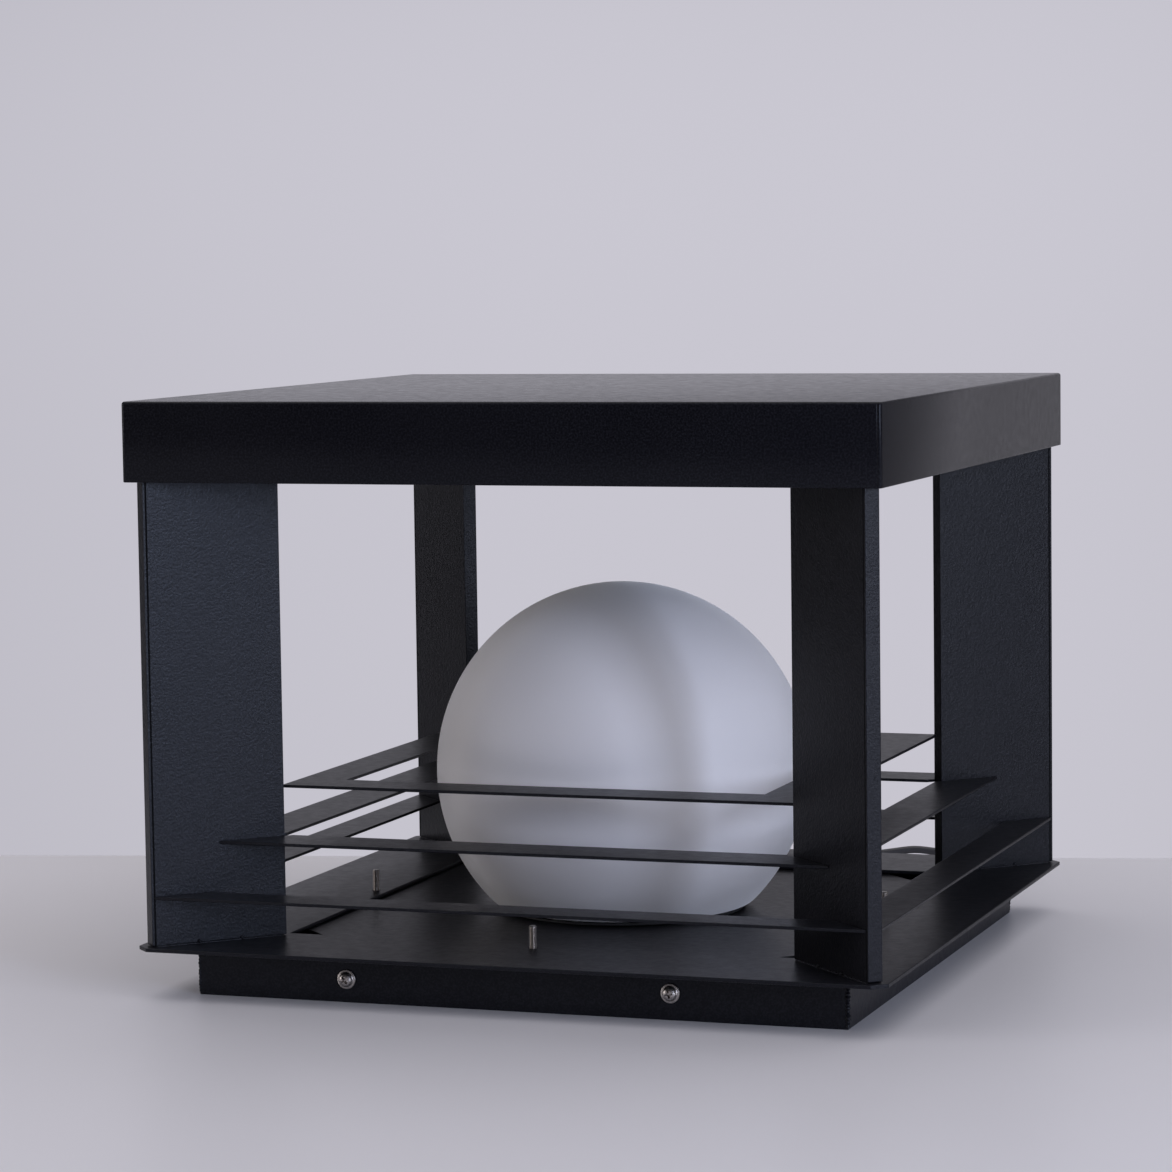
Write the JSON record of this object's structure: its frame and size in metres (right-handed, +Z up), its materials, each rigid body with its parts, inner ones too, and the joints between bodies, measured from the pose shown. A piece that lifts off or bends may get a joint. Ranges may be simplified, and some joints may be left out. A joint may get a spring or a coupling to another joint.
{
  "type": "pillar-top lantern",
  "caption": "Square black sheet-metal pillar lantern: flat lift-off lid on diagonal posts, stacked frame rings round a frosted globe lamp, and a low mounting base with a thin supply cord.",
  "frame": {"origin": "centre of the underside of the base skirt and bracket, on the surface the lantern stands on", "axes": "+Z up through the globe and the bulb, +X to the right, -Y to the front face, where two of the side screws show; the cord leaves the back, +Y"},
  "size_m": [0.3, 0.4142, 0.232],
  "materials": {
    "black_coat": "black powder coat, fine texture, satin-matt",
    "zinc": "zinc-plated steel sheet",
    "stainless": "bright stainless steel",
    "frosted_globe": "frosted opal acrylic, thin wall",
    "bulb_diffuser": "opal bulb diffuser",
    "white_plastic": "white moulded plastic",
    "black_plastic": "black moulded plastic",
    "brass": "pressed brass",
    "nickel": "nickel-plated cap",
    "rubber": "soft black rubber",
    "cord_sheath": "dark flexible PVC sheath",
    "blue_core": "blue insulated core",
    "brown_core": "brown insulated core"
  },
  "bodies": {
    "root": {"post_front_right": "black_coat", "post_back_right": "black_coat", "post_back_left": "black_coat", "post_front_left": "black_coat", "ring_upper": "black_coat", "ring_middle_front": "black_coat", "ring_middle_right": "black_coat", "ring_middle_back": "black_coat", "ring_middle_left": "black_coat", "ring_lower_front": "black_coat", "ring_lower_right": "black_coat", "ring_lower_back": "black_coat", "ring_lower_left": "black_coat", "base_flange": "black_coat", "skirt": "black_coat", "mounting_bracket": "zinc", "side_screw_front_1": "stainless", "side_screw_front_2": "stainless", "side_screw_back_1": "stainless", "side_screw_back_2": "stainless", "floor_plate": "black_coat", "floor_screw_front": "stainless", "floor_screw_right": "stainless", "floor_screw_back": "stainless", "floor_screw_left": "stainless", "globe_gasket": "rubber", "globe_clip_1": "stainless", "globe_clip_2": "stainless", "globe_clip_3": "stainless", "lampholder_body": "black_plastic", "lampholder_thread": "brass", "lampholder_contact": "brass", "holder_screw_left": "stainless", "holder_screw_right": "stainless", "terminal_block": "white_plastic", "inner_cable": "cord_sheath", "lamp_wire_neutral": "blue_core", "lamp_wire_live": "brown_core", "gland_body": "black_plastic", "gland_locknut": "black_plastic", "gland_boot": "rubber", "supply_cord": "cord_sheath", "cord_coil": "cord_sheath", "cord_tail": "cord_sheath", "cord_tie": "rubber", "cord_core_neutral": "blue_core", "cord_core_live": "brown_core"},
    "lid": {"lid_shell": "black_coat", "lid_socket_front_right": "zinc", "lid_socket_back_right": "zinc", "lid_socket_back_left": "zinc", "lid_socket_front_left": "zinc"},
    "globe": {"globe": "frosted_globe"},
    "bulb": {"bulb_tip": "black_plastic", "bulb_cap": "nickel", "bulb_housing": "white_plastic", "bulb_led_board": "white_plastic", "bulb_diffuser": "bulb_diffuser"}
  },
  "joints": [
    {"name": "lid_lift", "type": "slide", "parent": "root", "child": "lid", "axis": [0, 0, 1], "range_m": [0, 0.06]},
    {"name": "globe_lift", "type": "slide", "parent": "root", "child": "globe", "axis": [0, 0, 1], "range_m": [0, 0.07]},
    {"name": "bulb_turn", "type": "hinge", "parent": "root", "child": "bulb", "pos_m": [0, 0, 0.042], "axis": [0, 0, 1], "range_deg": [0, 1080]}
  ]
}
